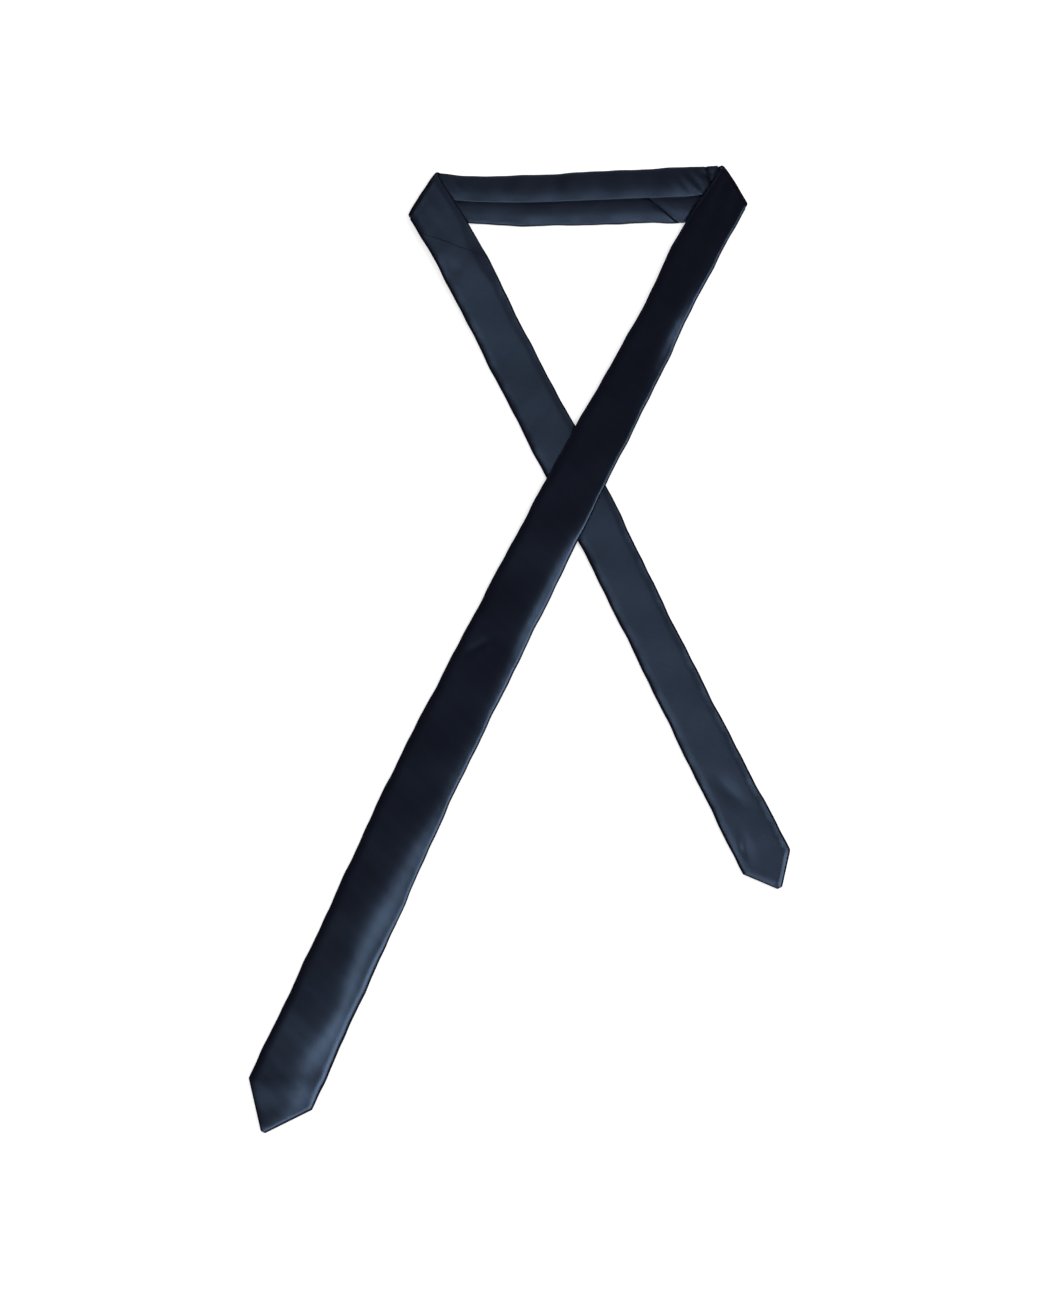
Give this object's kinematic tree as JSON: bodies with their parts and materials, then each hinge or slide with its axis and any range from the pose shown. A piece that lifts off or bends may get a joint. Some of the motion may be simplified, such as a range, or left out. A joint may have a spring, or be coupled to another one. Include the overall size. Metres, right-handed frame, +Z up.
{
  "type": "necktie",
  "caption": "Slim navy satin necktie laid flat, its neckband folded over at both ends and its wide blade crossing over its narrow tail.",
  "frame": {"origin": "centre of the neckband's underside, on the surface that the tie lies on", "axes": "+X along the neckband towards the blade's fold, +Y from the two tips towards the neckband, +Z up out of the surface"},
  "size_m": [0.3789, 0.6766, 0.0083],
  "materials": {
    "satin": "navy silk satin",
    "interlining": "brushed wool cloth",
    "lining": "plain lining cloth",
    "thread": "twisted silk thread",
    "label": "blank woven tape"
  },
  "bodies": {
    "neckband": {"neck_panel": "satin", "blade_panel_neck_end": "satin", "blade_to_neck_seam": "thread", "neckband_interlining": "interlining", "neckband_slip_stitch": "thread", "blade_crease_front": "satin", "blade_crease_interlining": "interlining", "blade_crease_flaps": "satin", "tail_crease_front": "satin", "tail_crease_interlining": "interlining", "tail_crease_flaps": "satin"},
    "blade": {"blade_panel": "satin", "blade_interlining": "interlining", "blade_slip_stitch": "thread"},
    "blade_end": {"blade_panel_end": "satin", "blade_end_interlining": "interlining", "blade_lining": "lining", "blade_end_slip_stitch": "thread", "blade_bar_tack": "thread", "keeper_loop": "satin", "keeper_loop_stitch_1": "thread", "keeper_loop_stitch_2": "thread", "care_label": "label"},
    "tail": {"neck_panel_tail_end": "satin", "neck_to_tail_seam": "thread", "tail_panel": "satin", "tail_interlining": "interlining", "tail_slip_stitch": "thread"},
    "tail_end": {"tail_panel_end": "satin", "tail_end_interlining": "interlining", "tail_lining": "lining", "tail_end_slip_stitch": "thread", "tail_bar_tack": "thread", "spare_thread_loop": "thread"}
  },
  "joints": [
    {"name": "blade_fold", "type": "hinge", "parent": "neckband", "child": "blade", "pos_m": [0.10574, 0.00794, 0.00365], "axis": [0.5243, -0.8516, 0], "range_deg": [-180, 0], "deforming": ["blade_crease_front", "blade_crease_interlining", "blade_crease_flaps"]},
    {"name": "tail_fold", "type": "hinge", "parent": "neckband", "child": "tail", "pos_m": [-0.10825, 0.0011, 0.00365], "axis": [0.5485, 0.8361, 0], "range_deg": [-90, 0], "deforming": ["tail_crease_front", "tail_crease_interlining", "tail_crease_flaps"]},
    {"name": "blade_end_lift", "type": "hinge", "parent": "blade", "child": "blade_end", "pos_m": [-0.01413, -0.2204, 0.0083], "axis": [-0.8939, 0.4482, 0], "range_deg": [0, 90]},
    {"name": "tail_end_lift", "type": "hinge", "parent": "tail", "child": "tail_end", "pos_m": [0.01583, -0.23507, 0.0035], "axis": [-0.8881, -0.4596, 0], "range_deg": [0, 90]}
  ],
  "couplings": [
    {"joint": "tail_fold", "follows": "blade_fold", "ratio": 0.5}
  ]
}
